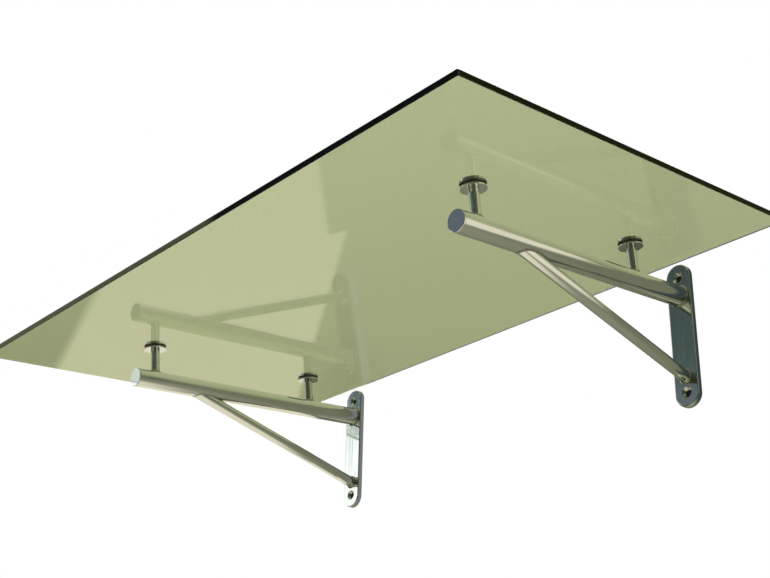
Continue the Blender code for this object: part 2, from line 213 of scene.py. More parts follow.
def sloped(points, side):
    """Turns points of an arm's own frame by the slope about X, and sets them on a wall plate's front.

    y' = y cos s - z sin s + the plate's front, z' = y sin s + z cos s.
    """
    slope = settings("bracket").slope
    moved = np.empty_like(points)
    moved[..., 0] = points[..., 0] + SIDES[side]
    moved[..., 1] = points[..., 1] * math.cos(slope) - points[..., 2] * math.sin(slope) + PLATE_FRONT
    moved[..., 2] = points[..., 1] * math.sin(slope) + points[..., 2] * math.cos(slope)
    return moved


def cells(rows, columns):
    """The numbers of the four corners round each cell of a grid."""
    index = np.arange(rows * columns).reshape(rows, columns)
    return np.stack((index[:-1, :-1], index[:-1, 1:], index[1:, 1:], index[1:, :-1]), axis=-1).reshape(-1, 4)


def add(name, data):
    """A new object in the scene."""
    made = bpy.data.objects.new(name, data)
    bpy.context.scene.collection.objects.link(made)
    return made


def make_piece(name, patches, kind):
    """One closed mesh from grids of points, welded where they meet, that stands for a CAD node.

    Each cell of a grid is cut into two triangles, and those that have shrunk to a line are dropped.
    """
    corners, maps, triangles = [], [], []
    count = 0
    for points, polish in patches:
        cell = cells(*points.shape[:2]) + count
        triangles += [cell[:, [0, 1, 2]], cell[:, [0, 2, 3]]]
        corners.append(points.reshape(-1, 3))
        maps.append(polish.reshape(-1, 2))
        count += len(corners[-1])
    corners, maps, triangles = np.concatenate(corners), np.concatenate(maps), np.concatenate(triangles)
    _, first, welded = np.unique(
        np.round(corners / SAME_POINT).astype(np.int64), axis=0, return_index=True, return_inverse=True)
    faces = welded.reshape(-1)[triangles]
    whole = (faces != np.roll(faces, 1, axis=1)).all(axis=1)
    faces, triangles = faces[whole], triangles[whole]

    mesh = bpy.data.meshes.new(name + "_fine")
    mesh.vertices.add(len(first))
    mesh.vertices.foreach_set("co", corners[first].ravel())
    mesh.loops.add(faces.size)
    mesh.loops.foreach_set("vertex_index", faces.ravel())
    mesh.polygons.add(len(faces))
    mesh.polygons.foreach_set("loop_start", np.arange(0, faces.size, 3))
    layer = mesh.uv_layers.new(name=POLISH_MAP)
    layer.data.foreach_set("uv", maps[triangles.ravel()].ravel())
    mesh.update(calc_edges=True)
    mesh.validate()
    shape = bmesh.new()
    shape.from_mesh(mesh)
    bmesh.ops.recalc_face_normals(shape, faces=shape.faces)
    shape.to_mesh(mesh)
    shape.free()
    mesh.shade_smooth()
    mesh.set_sharp_from_angle(angle=SHARP_FROM)
    mesh.materials.append(finish_of(kind))
    piece = add(name + "_fine", mesh)
    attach(piece, BODY)
    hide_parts(name)


def quarter(radius, height, size, start=0.0):
    """Profile points of a quarter round from the start angle: (radius + size cos b, height + size sin b)."""
    angles = start + np.linspace(0.0, math.pi / 2, BEND_STEPS + 1)
    return list(zip(radius + size * np.cos(angles), height + size * np.sin(angles)))


def turned(profile):
    """A turned surface about Z: x = r cos a, y = r sin a, z = h, over the profile's (r, h) and the angle a.

    The polishing lines run round the piece, as a lathe leaves them.
    """
    profile = np.array(profile)
    angle = turn()
    radius, height = profile[:, 0:1], profile[:, 1:2]
    points = rows_of(radius * np.cos(angle), radius * np.sin(angle), height)
    return patch(points, path_length(profile)[:, None], angle * profile[:, 0].max())


# Finishes

def node(tree, kind, inputs=(), **details):
    """A shader node with its details set, and each input set to a value or joined to an output."""
    made = tree.nodes.new(kind)
    for name, value in details.items():
        setattr(made, name, value)
    for name, value in dict(inputs).items():
        if isinstance(value, bpy.types.NodeSocket):
            tree.links.new(value, made.inputs[name])
        else:
            made.inputs[name].default_value = value
    return made


def new_finish(name):
    """An empty material, its tree and its output node."""
    finish = bpy.data.materials.new(name)
    finish.use_nodes = True
    finish.node_tree.nodes.clear()
    output = finish.node_tree.nodes.new("ShaderNodeOutputMaterial")
    return finish, finish.node_tree, output


def maths(tree, operation, first, *others):
    """The result of an operation on one value or output, or on several, taken one after another."""
    result = first
    for other in others or (0.0,):
        result = node(tree, "ShaderNodeMath", {0: result, 1: other}, operation=operation).outputs[0]
    return result


def times(tree, *values):
    return maths(tree, "MULTIPLY", *values)


def plus(tree, *values):
    return maths(tree, "ADD", *values)


def distance(tree, place, point):
    """How far a place lies from a point."""
    return node(tree, "ShaderNodeVectorMath", {0: place, 1: point}, operation="DISTANCE").outputs["Value"]


def spread(tree, source, low, high, low_in=0.0, high_in=1.0):
    """Maps a value smoothly from one range to another."""
    mapped = node(tree, "ShaderNodeMapRange", {
        "Value": source, "From Min": low_in, "From Max": high_in, "To Min": low, "To Max": high},
        interpolation_type="SMOOTHSTEP")
    return mapped.outputs["Result"]


def rise(tree, value, low, high):
    """0 below low and 1 above high, smooth between."""
    return spread(tree, value, 0.0, 1.0, low, high)


def fall(tree, value, low, high):
    """1 below low and 0 above high, smooth between."""
    return spread(tree, value, 1.0, 0.0, low, high)


def window(tree, value, low, high, soft):
    """1 where a value lies between low and high, 0 outside, with smooth edges of half-width soft."""
    return times(tree, rise(tree, value, low - soft, low + soft), fall(tree, value, high - soft, high + soft))


def blend(tree, factor, first, second):
    """Mixes two colours, each a fixed colour or an output, by a factor."""
    mixed = node(tree, "ShaderNodeMix", data_type="RGBA")
    for name, value in (("Factor", factor), (6, first), (7, second)):
        if isinstance(value, bpy.types.NodeSocket):
            tree.links.new(value, mixed.inputs[name])
        else:
            mixed.inputs[name].default_value = (*value, 1.0)
    return mixed.outputs[2]


def ramp(tree, factor, first, second):
    """A colour ramp from one colour to another."""
    made = node(tree, "ShaderNodeValToRGB", {"Fac": factor})
    for element, colour in zip(made.color_ramp.elements, (first, second)):
        element.color = (*colour, 1.0)
    return made.outputs["Color"]


def scaled(colour, share):
    return [share * c for c in colour]


def object_place(tree):
    return node(tree, "ShaderNodeTexCoord").outputs["Object"]


def noise(tree, place, scale, detail, roughness=0.5):
    return node(tree, "ShaderNodeTexNoise", {
        "Vector": place, "Scale": scale, "Detail": detail, "Roughness": roughness}).outputs["Fac"]


def drawn_noise(tree, across, along, detail, roughness=0.5):
    """Noise on the polish map, with its own scale over the polishing lines and along them."""
    polish = node(tree, "ShaderNodeUVMap", uv_map=POLISH_MAP).outputs["UV"]
    drawn = node(tree, "ShaderNodeMapping", {"Vector": polish, "Scale": (across, along, 1.0)})
    return noise(tree, drawn.outputs["Vector"], 1.0, detail, roughness)


def relief(tree, height, strength, depth):
    return node(tree, "ShaderNodeBump", {
        "Height": height, "Strength": strength, "Distance": depth}).outputs["Normal"]


def shade(tree, output, inputs):
    """Gives a finish its surface, a principled shader with these inputs."""
    shader = node(tree, "ShaderNodeBsdfPrincipled", inputs)
    tree.links.new(shader.outputs["BSDF"], output.inputs["Surface"])


def steel_finish(tree, output):
    """Mirror-polished stainless steel: fine lines left by the buffing wheel, and a faint haze in patches."""
    look = settings("finish")
    lines = drawn_noise(tree, 1800.0, 14.0, 3.0, 0.6)
    haze = noise(tree, object_place(tree), 14.0, 4.0, 0.55)
    streaks = drawn_noise(tree, 260.0, 4.0, 2.0)
    rough = plus(tree, spread(tree, lines, -0.02, 0.04, 0.3, 0.7), look.steel_roughness,
                 spread(tree, haze, -0.015, 0.03, 0.35, 0.7), spread(tree, streaks, 0.0, 0.12, 0.52, 0.72))
    shade(tree, output, {
        "Base Color": blend(tree, rise(tree, haze, 0.3, 0.7), scaled(look.steel, 0.96), look.steel),
        "Metallic": 1.0, "Roughness": rough, "Normal": relief(tree, lines, 0.05, 0.0001)})


def weld_finish(tree, output):
    """Weld metal dressed by hand: a duller, darker steel than the tubes, with ripples along the bead."""
    look = settings("finish")
    ripples = drawn_noise(tree, 150.0, 620.0, 2.0)
    shade(tree, output, {
        "Base Color": blend(tree, rise(tree, ripples, 0.3, 0.7), scaled(look.weld, 0.8), look.weld),
        "Metallic": 1.0, "Roughness": spread(tree, ripples, 0.26, 0.38, 0.3, 0.7),
        "Normal": relief(tree, ripples, 0.35, 0.0002)})


def glass_finish(tree, output):
    """Olive float glass: faces with faint waves of toughening, and a body that takes up light with depth."""
    look = settings("pane")
    waves = noise(tree, object_place(tree), 5.0, 1.0)
    shade(tree, output, {
        "Base Color": WHITE, "Roughness": 0.0, "IOR": 1.52, "Transmission Weight": 1.0,
        "Normal": relief(tree, waves, 0.15, 0.0006)})
    body = node(tree, "ShaderNodeVolumeAbsorption", {
        "Color": (*look.tint, 1.0), "Density": look.depth_of_tint})
    tree.links.new(body.outputs["Volume"], output.inputs["Volume"])


def rubber_finish(tree, output):
    """Matt black rubber with a moulded grain and a slight bloom."""
    look = settings("finish")
    place = object_place(tree)
    bloom = noise(tree, place, 90.0, 4.0)
    shade(tree, output, {
        "Base Color": ramp(tree, bloom, look.rubber, scaled(look.rubber, 2.2)),
        "Roughness": spread(tree, bloom, 0.55, 0.75),
        "Normal": relief(tree, noise(tree, place, 2500.0, 3.0), 0.3, 0.0001)})


def nylon_finish(tree, output):
    """Off-white nylon, slightly waxy, with faint mould flow."""
    look = settings("finish")
    flow = noise(tree, object_place(tree), 160.0, 2.0)
    shade(tree, output, {
        "Base Color": ramp(tree, flow, scaled(look.nylon, 0.94), look.nylon),
        "Roughness": spread(tree, flow, 0.3, 0.42), "Subsurface Weight": 0.15, "Subsurface Scale": 0.002})


MAKERS = {"polished_steel": steel_finish, "dressed_weld": weld_finish, "tinted_glass": glass_finish,
          "black_rubber": rubber_finish, "clear_nylon": nylon_finish}
FINISHES = {}


def finish_of(kind):
    """The fine material for one of the record's slots, or for the welds, made once."""
    if kind not in FINISHES:
        FINISHES[kind], tree, output = new_finish(kind + "_fine")
        MAKERS[kind](tree, output)
    return FINISHES[kind]


# Brackets, in the sloped frame of an arm

def upper_hole_height():
    """Height of an upper screw hole: arm radius + weld leg + clearance + countersink radius."""
    bracket = settings("bracket")
    return (bracket.arm_diameter / 2 + bracket.weld_leg + bracket.hole_clearance
            + bracket.countersink_diameter / 2)


def over_arm(across):
    """Height a gap over the arm's side: the root of (arm radius + gap)^2 - x^2."""
    return np.sqrt((settings("bracket").arm_diameter / 2 + GAP) ** 2 - across ** 2)


def wall_plate(side):
    """A flat bar with round ends and two countersunk holes, as two mirrored halves.

    A half's face runs from the hole's circle straight out to its outline: the round end, both straight sides
    and the cut between the halves. The front edge is a quarter round of radius e: at the angle b it lies
    e - e sin b inside the outline, at the depth t - e + e cos b, where t is the plate's thickness. A
    countersink is a 45 degree cone.
    """
    bracket = settings("bracket")
    low, high = PLATES[side]
    thick, half_width, edge = -low.y, (high.x - low.x) / 2, bracket.plate_edge
    hole = upper_hole_height()
    middle = hole - bracket.hole_spacing / 2
    end_centre = high.z - half_width
    screw, sink = bracket.screw_diameter / 2, bracket.countersink_diameter / 2
    face_inset = edge + SUPPORT

    arc = np.linspace(0.0, math.pi, PLATE_END_STEPS + 1)
    reach = np.linspace(math.atan2(hole - end_centre, half_width), math.atan2(hole - middle, half_width),
                        PLATE_SIDE_STEPS + 1)
    side_z = hole - half_width * np.tan(reach)
    side_z[0], side_z[-1] = end_centre, middle
    cut_share = np.sin(np.linspace(-math.pi / 2, math.pi / 2, PLATE_CUT_STEPS + 1))[1:-1]

    def rim(inset):
        """The outline moved in, from the right end of the cut over the top to the left end."""
        radius = half_width - inset
        straight = np.full(len(side_z) - 1, radius)
        return (np.concatenate((straight, radius * np.cos(arc), -straight)),
                np.concatenate((side_z[:0:-1], end_centre + radius * np.sin(arc), side_z[1:])))

    def loop(inset):
        """The rim with the cut between the halves, closed."""
        x, z = rim(inset)
        return (np.concatenate((x, cut_share * (half_width - inset), x[:1])),
                np.concatenate((z, np.full(len(cut_share), middle), z[:1])))

    def circle(radius):
        """The hole's circle, with a point opposite each point of the face's loop."""
        x, z = loop(face_inset)
        angle = np.arctan2(z - hole, x)
        return radius * np.cos(angle), hole + radius * np.sin(angle)

    front = [(*circle(radius), depth) for radius, depth in (
        (screw, 0.0), (screw, thick - (sink - screw)), (sink - 2 * SUPPORT, thick - 2 * SUPPORT),
        (sink - SUPPORT / 2, thick - SUPPORT / 2), (sink + SUPPORT / 2, thick), (sink + 3 * SUPPORT, thick))]
    front.append((*loop(face_inset), thick))
    outer = [(*rim(face_inset), thick)]
    outer += [(*rim(edge - edge * math.sin(bend)), thick - edge + edge * math.cos(bend))
              for bend in np.linspace(0.0, math.pi / 2, BEND_STEPS + 1)]
    outer += [(*rim(0.0), thick - edge - SUPPORT), (*rim(0.0), 0.0)]
    back = [(*loop(0.0), 0.0), (*circle(screw), 0.0)]

    patches = []
    for rows in (front, outer, back):
        x, z = np.stack([row[0] for row in rows]), np.stack([row[1] for row in rows])
        depth = np.array([row[2] for row in rows])[:, None]
        for height in (z, 2 * middle - z):
            patches.append(patch(rows_of(x + SIDES[side], -depth, height), x + depth, height))
    return patches


def arm_foot(radius, angle, slope):
    """How far a line along the arm reaches to the wall plate, less the gap: r sin a tan s - gap / cos s."""
    return radius * np.sin(angle) * math.tan(slope) - GAP / math.cos(slope)


def arm_tube():
    """A round tube along -Y, square at the front and cut at the slope's angle at the wall plate.

    x = r cos a, z = r sin a, and y runs from the cut at z tan s to the cap. The profile goes out along the
    outer wall, over the front rim and back along the inner wall.
    """
    bracket = settings("bracket")
    angle = turn()
    outer = bracket.arm_diameter / 2
    inner = outer - bracket.tube_wall
    front = np.full(len(angle), bracket.cap_thickness + GAP - bracket.arm_length)
    foot = arm_foot(outer, angle, bracket.slope)
    rows = [(outer, foot + (front + 2 * TUBE_EDGE - foot) * share)
            for share in np.linspace(0.0, 1.0, LENGTH_STEPS)]
    rows += [(outer - TUBE_EDGE + TUBE_EDGE * math.cos(bend), front + TUBE_EDGE - TUBE_EDGE * math.sin(bend))
             for bend in np.linspace(0.0, math.pi / 2, RIM_STEPS + 1)]
    rows += [(inner, front), (inner, arm_foot(inner, angle, bracket.slope)), (outer, foot)]
    radius = np.array([row[0] for row in rows])[:, None]
    y = np.stack([row[1] for row in rows])
    return patch(rows_of(radius * np.cos(angle), y, radius * np.sin(angle)), angle * outer, y)


def arm_end_cap():
    """A turned plug: a plain face with a quarter round rim, and a spigot that goes into the tube.

    It is turned about Z, and then laid along the arm: z becomes y, less the arm's length, and y becomes z.
    """
    bracket = settings("bracket")
    outer, thick = bracket.arm_diameter / 2, bracket.cap_thickness
    spigot, end = outer - bracket.tube_wall - GAP, thick + SPIGOT_LENGTH
    profile = [(0.0, 0.0), (outer - CAP_RIM - SUPPORT, 0.0)]
    profile += [(r, -h) for r, h in quarter(outer - CAP_RIM, -CAP_RIM, CAP_RIM)][::-1]
    profile.append((outer, thick - TUBE_EDGE - SUPPORT))
    profile += quarter(outer - TUBE_EDGE, thick - TUBE_EDGE, TUBE_EDGE)
    profile += [(spigot, thick), (spigot, end), (spigot - SPIGOT_WALL, end), (spigot - SPIGOT_WALL, thick),
                (0.0, thick)]
    points, polish = turned(profile)
    return rows_of(points[..., 0], points[..., 2] - bracket.arm_length, points[..., 1]), polish


def brace_axis():
    """The brace axis's foot on the wall plate, its direction towards the arm, and its upward side."""
    bracket = settings("bracket")
    height = (upper_hole_height() - bracket.hole_spacing + bracket.countersink_diameter / 2
              + bracket.hole_clearance + bracket.weld_leg + bracket.brace_diameter / 2)
    foot = np.array([0.0, height * math.sin(bracket.slope), height * math.cos(bracket.slope)])
    top = np.array([0.0, bracket.brace_to_end - bracket.arm_length, 0.0])
    along = (top - foot) / np.linalg.norm(top - foot)
    return foot, along, np.cross(np.array([1.0, 0.0, 0.0]), along)


def brace_ends(radius):
    """Where lines along the brace at a radius meet the wall plate and the arm's underside, each a gap off.

    A line starts at foot + offset, with offset = r (cos a, sin a up). It meets the plate where its distance
    from the plate's plane is the gap, and the arm where its height is minus the height over_arm.
    """
    foot, along, upward = brace_axis()
    angle = turn()
    across, up = radius * np.cos(angle), radius * np.sin(angle)
    offset = rows_of(across, up * upward[1], up * upward[2])
    to_plate = (GAP - offset @ plate_normal()) / (along @ plate_normal())
    to_arm = (-over_arm(offset[:, 0]) - foot[2] - offset[:, 2]) / along[2]
    low = foot + offset + to_plate[:, None] * along
    high = foot + offset + to_arm[:, None] * along
    return low, high, offset / radius


def brace_tube():
    """A round tube with a wall. Its outside is low + (high - low) s, with s from 0 at the plate to 1."""
    bracket = settings("bracket")
    outer = bracket.brace_diameter / 2
    low, high, _ = brace_ends(outer)
    inner_low, inner_high, _ = brace_ends(outer - bracket.tube_wall)
    share = np.linspace(0.0, 1.0, LENGTH_STEPS)[:, None, None]
    points = np.concatenate((low + (high - low) * share, inner_high[None], inner_low[None], low[None]))
    return patch(points, turn() * outer, np.linalg.norm(points - points[0], axis=-1))


def fillet(crease, along, radial, normal):
    """A hollow weld fillet round a closed crease: one leg up the piece, one out over what it stands on.

    Its face is the curve (1-t)^2 up + 2t(1-t) pull + t^2 out, whose middle passes the fillet's waist.
    """
    bracket = settings("bracket")
    outward = radial - np.sum(radial * normal, axis=1, keepdims=True) * normal
    outward /= np.linalg.norm(outward, axis=1, keepdims=True)
    up, out = bracket.weld_leg * np.asarray(along), bracket.weld_leg * outward
    pull = (2 * bracket.weld_waist - 0.5) * (up + out)
    t = np.linspace(0.0, 1.0, WELD_FACE_STEPS + 1)[:, None, None]
    face = (1 - t) ** 2 * up + 2 * t * (1 - t) * pull + t ** 2 * out
    rows = np.concatenate((crease[None], crease + face, crease[None]))
    across = np.linspace(0.0, 2 * bracket.weld_leg, len(rows))[:, None]
    return patch(rows, across, path_length(crease))


def tube_normals(points):
    """The arm's outward normals at points beside it: their (x, 0, z), brought to length 1."""
    normal = points * np.array([1.0, 0.0, 1.0])
    return normal / np.linalg.norm(normal, axis=1, keepdims=True)


def plate_normal():
    """The way out of the wall plates, in the sloped frame."""
    slope = settings("bracket").slope
    return np.array([0.0, -math.cos(slope), math.sin(slope)])


def arm_weld():
    """A fillet on the crease where the arm meets its plate: x = r cos a, z = r sin a, and y from arm_foot."""
    bracket = settings("bracket")
    angle = turn()
    radius = bracket.arm_diameter / 2 + GAP
    crease = rows_of(radius * np.cos(angle), arm_foot(radius, angle, bracket.slope), radius * np.sin(angle))
    return fillet(crease, (0.0, -1.0, 0.0), tube_normals(crease), plate_normal())


def brace_foot_weld():
    """A fillet on the crease where the brace meets its plate, the low end of brace_ends."""
    low, _, radial = brace_ends(settings("bracket").brace_diameter / 2 + GAP)
    return fillet(low, brace_axis()[1], radial, plate_normal())


def brace_top_weld():
    """A fillet on the crease where the brace meets its arm, the high end of brace_ends."""
    _, high, radial = brace_ends(settings("bracket").brace_diameter / 2 + GAP)
    return fillet(high, -brace_axis()[1], radial, tube_normals(high))


# Clamps, each made about the axis of its post, which stands square on the arm

def heights():
    """Heights over the arm axis at which the pieces stacked on a post lie, and the bolt at its head's top."""
    pane, clamp = settings("pane"), settings("clamp")
    lower_gasket = pane.height - GAP - clamp.gasket
    lower_disc = lower_gasket - GAP - clamp.lower_disc
    upper_gasket = pane.height + pane.thickness + GAP
    upper_disc = upper_gasket + clamp.gasket + GAP
    return {"lower_gasket": lower_gasket, "lower_disc": lower_disc, "post_top": lower_disc - GAP,
            "hole_sleeve": pane.height, "upper_gasket": upper_gasket, "upper_disc": upper_disc,
            "clamp_bolt": upper_disc + clamp.upper_disc}


def clamp_y(place):
    """Where a clamp's axis crosses its arm's axis."""
    clamp = settings("clamp")
    front = clamp.front_to_end - settings("bracket").arm_length
    return front if place == "front" else front + clamp.spacing


def post():
    """A round post coped to the arm's top and bored from above: x = r cos a, y = r sin a.

    Its foot follows the arm at the height over_arm. The rows go from the middle of the foot out, up the side,
    over the top's soft edge and down the bore.
    """
    clamp = settings("clamp")
    angle = turn()
    outer, bore = clamp.post_diameter / 2, clamp.bolt_diameter / 2 + GAP
    top = heights()["post_top"]
    bottom = top - clamp.bolt_grip - BORE_SPARE
    foot = outer * np.linspace(0.0, 1.0, POST_FOOT_STEPS + 1)
    profile = [(outer, top - POST_EDGE - SUPPORT)] + quarter(outer - POST_EDGE, top - POST_EDGE, POST_EDGE)
    profile += [(outer - POST_EDGE - SUPPORT, top), (bore, top), (bore, bottom), (0.0, bottom)]
    radius = np.concatenate((foot, [r for r, _ in profile]))[:, None]
    level = np.concatenate((over_arm(foot[:, None] * np.cos(angle)),
                            [np.full(len(angle), h) for _, h in profile]))
    points = rows_of(radius * np.cos(angle), radius * np.sin(angle), level)
    return patch(points, angle * outer, level)


def post_weld():
    """A fillet on the crease where a post meets its arm: x = r cos a, y = r sin a, and z from over_arm."""
    angle = turn()
    radius = settings("clamp").post_diameter / 2 + GAP
    x = radius * np.cos(angle)
    crease = rows_of(x, radius * np.sin(angle), over_arm(x))
    radial = rows_of(np.cos(angle), np.sin(angle), 0.0)
    return fillet(crease, (0.0, 0.0, 1.0), radial, tube_normals(crease))


def disc(thick, inner):
    """A turned disc from height 0 up, with a quarter round on both outer edges.

    inner is the way from the top down the bore, which closes the profile.
    """
    outer = settings("clamp").disc_diameter / 2
    flat, middle = outer - DISC_EDGE - SUPPORT, outer - DISC_EDGE
    profile = [(flat, 0.0)] + quarter(middle, DISC_EDGE, DISC_EDGE, -math.pi / 2)
    profile += quarter(middle, thick - DISC_EDGE, DISC_EDGE) + [(flat, thick)]
    return turned(profile + inner + profile[:1])


def lower_disc():
    """A disc with a straight bore."""
    clamp = settings("clamp")
    hole = clamp.bolt_diameter / 2 + GAP
    return disc(clamp.lower_disc, [(hole, clamp.lower_disc), (hole, 0.0)])


def upper_disc():
    """A disc whose bore opens in a 45 degree cone for the bolt's head."""
    clamp = settings("clamp")
    hole, thick = clamp.bolt_diameter / 2 + GAP, clamp.upper_disc
    seat = clamp.head_diameter / 2 + GAP * math.sqrt(2)
    return disc(thick, [(seat + SUPPORT, thick), (seat, thick), (hole, thick - (seat - hole)), (hole, 0.0)])


def ring(outer, thick):
    """A turned flat ring round the bolt, with a tiny 45 degree chamfer on both outer edges."""
    inner = settings("clamp").bolt_diameter / 2 + GAP
    soft = min(RING_EDGE, thick / 4)
    return turned([(inner, 0.0), (outer - soft, 0.0), (outer, soft), (outer, thick - soft),
                   (outer - soft, thick), (inner, thick), (inner, 0.0)])


def gasket():
    """A rubber ring that stays a little inside the disc's edge."""
    clamp = settings("clamp")
    return ring(clamp.disc_diameter / 2 - clamp.gasket_inset, clamp.gasket)


def hole_sleeve():
    """A nylon ring as thick as the glass, a gap short of the hole's wall."""
    pane = settings("pane")
    return ring(pane.hole_diameter / 2 - GAP, pane.thickness)


def clamp_bolt():
    """A countersunk bolt, turned from its tip to its head, with a hexagon socket in the head.

    The socket's wall is at half its width over cos(a folded into 30 degrees either side of a flat's middle).
    """
    clamp = settings("clamp")
    angle = turn(BOLT_STEPS)
    shank, head = clamp.bolt_diameter / 2, clamp.head_diameter / 2
    levels = heights()
    length = levels["clamp_bolt"] - levels["post_top"] + clamp.bolt_grip
    sixth = math.pi / 3
    hexagon = clamp.socket_width / 2 / np.cos((angle + sixth / 2) % sixth - sixth / 2)
    plain = [(0.0, -length), (shank - BOLT_TIP, -length), (shank, BOLT_TIP - length), (shank, shank - head),
             (head - HEAD_EDGE, -HEAD_EDGE), (head - HEAD_EDGE / 3, -HEAD_EDGE / 3), (head - HEAD_EDGE, 0.0)]
    radius = np.stack([np.full(len(angle), r) for r, _ in plain]
                      + [hexagon + 2 * HEAD_EDGE, hexagon + HEAD_EDGE, hexagon, hexagon, 0.0 * hexagon])
    drop = np.array([h for _, h in plain] + [
        0.0, -HEAD_EDGE / 4, -HEAD_EDGE, -clamp.socket_depth, -clamp.socket_depth - SOCKET_CONE])[:, None]
    return patch(rows_of(radius * np.cos(angle), radius * np.sin(angle), drop), radius + drop, angle * head)


# Stage

def either(tree, factor, first, second):
    """Mixes two shaders by a factor."""
    return node(tree, "ShaderNodeMixShader", {0: factor, 1: first, 2: second}).outputs[0]


def inverse(tree, mask):
    return maths(tree, "SUBTRACT", 1.0, mask)


def has_crossed_pane(tree, path):
    return maths(tree, "GREATER_THAN", path["Transmission Depth"], 0.5)


def bright_panel(tree, angle, height, crossed):
    """The bright panel on the left, green higher up, or bluer to rays that have crossed the pane."""
    through = blend(tree, rise(tree, angle, 119.0, 122.0), (0.80, 0.86, 0.95), (3.1, 3.1, 5.3))
    panel = blend(tree, crossed, (1.52, 1.54, 1.56), through)
    green = times(tree, window(tree, angle, 92.0, 128.5, 0.8), rise(tree, height, 15.2, 16.2),
                  inverse(tree, crossed))
    return blend(tree, green, panel, (0.66, 0.77, 0.44))


def dark_panel(tree, angle, height, crossed):
    """The dark front, paler on the right, or bluer and paler low down to rays that have crossed the pane."""
    low = blend(tree, rise(tree, height, 20.4, 22.2), (0.39, 0.44, 1.02), (0.125, 0.225, 0.44))
    through = blend(tree, rise(tree, height, 22.5, 27.0), low, (0.11, 0.15, 0.32))
    through = blend(tree, rise(tree, angle, 147.0, 160.0), through, (0.11, 0.15, 0.21))
    far_right = blend(tree, rise(tree, height, 14.5, 17.5), (0.44, 0.44, 0.44), (0.25, 0.26, 0.25))
    through = blend(tree, rise(tree, angle, 195.0, 235.0), through, far_right)
    panel = blend(tree, rise(tree, angle, 238.0, 269.0), (0.060, 0.092, 0.072), (0.60, 0.58, 0.47))
    return blend(tree, crossed, panel, through)


def ground(tree, angle, height):
    """Dim towards the horizon and paler straight below, with one lit patch in front."""
    dim = blend(tree, fall(tree, height, -54.0, -20.0), (0.045, 0.055, 0.03), (0.46, 0.48, 0.28))
    lit = blend(tree, fall(tree, height, -40.0, -32.0), (0.62, 0.60, 0.42), (0.78, 0.76, 0.52))
    lit_patch = times(tree, window(tree, angle, 145.0, 186.0, 6.0), fall(tree, height, -27.0, -21.0))
    return blend(tree, lit_patch, dim, lit)


def studio(tree, direction, crossed):
    """What a mirror sees of the studio: panels all round, the ground below and a pale panel on top.

    The angle runs from the back (0) over the left (90) and the front (180) to the right (270), and the height
    is the ray's elevation, both in degrees. The bright panel's upright edge steps back twice near its top.
    """
    parts = node(tree, "ShaderNodeSeparateXYZ", {"Vector": direction}).outputs
    to_left = maths(tree, "ARCTAN2", times(tree, parts["X"], -1.0), parts["Y"])
    angle = maths(tree, "FLOORED_MODULO", maths(tree, "DEGREES", to_left), 360.0)
    height = maths(tree, "DEGREES", maths(tree, "ARCSINE", parts["Z"]))

    steps = plus(tree, times(tree, rise(tree, height, 18.8, 19.3), 3.2),
                 times(tree, rise(tree, height, 19.8, 20.6), 3.0))
    tone = blend(tree, rise(tree, plus(tree, angle, steps), 133.5, 134.3),
                 bright_panel(tree, angle, height, crossed), dark_panel(tree, angle, height, crossed))
    tone = blend(tree, fall(tree, height, -5.0, 0.0), tone, ground(tree, angle, height))
    back = maths(tree, "MAXIMUM", fall(tree, angle, 89.0, 91.0), rise(tree, angle, 269.0, 271.0))
    behind = blend(tree, rise(tree, height, -35.0, 25.0), (0.36, 0.37, 0.36), (0.98, 0.98, 0.95))
    behind = blend(tree, rise(tree, parts["Y"], 0.3, 0.6), LIT_BOARD, behind)
    tone = blend(tree, back, tone, behind)
    return blend(tree, rise(tree, height, 40.0, 58.0), tone, TOP_PANEL)


def world_light(tree, colour, strength=1.0):
    return node(tree, "ShaderNodeBackground", {"Color": colour, "Strength": strength}).outputs[0]


def surroundings():
    """A world that is plain white to the camera and through glass, the studio to mirrors, else even light."""
    world = bpy.data.worlds.new("studio_surroundings")
    bpy.context.scene.world = world
    world.use_nodes = True
    world.cycles.sampling_method = "NONE"
    tree = world.node_tree
    tree.nodes.clear()
    output = tree.nodes.new("ShaderNodeOutputWorld")
    direction = node(tree, "ShaderNodeTexCoord").outputs["Generated"]
    path = node(tree, "ShaderNodeLightPath").outputs
    mirrored = world_light(tree, studio(tree, direction, has_crossed_pane(tree, path)))
    even_light = world_light(tree, WHITE, settings("stage").soft_light)
    unmirrored = maths(tree, "LESS_THAN", path["Glossy Depth"], 0.5)
    through = times(tree, path["Is Transmission Ray"], unmirrored)
    seen = maths(tree, "MAXIMUM", path["Is Camera Ray"], through)
    lit = either(tree, path["Is Diffuse Ray"], mirrored, even_light)
    tree.links.new(either(tree, seen, lit, world_light(tree, WHITE)), output.inputs["Surface"])


def flat_sheet(name, points):
    """A flat stage sheet from a three by three grid of points."""
    mesh = bpy.data.meshes.new(name)
    mesh.from_pydata(points.reshape(-1, 3).tolist(), [], cells(3, 3).tolist())
    sheet = add(name, mesh)
    return sheet


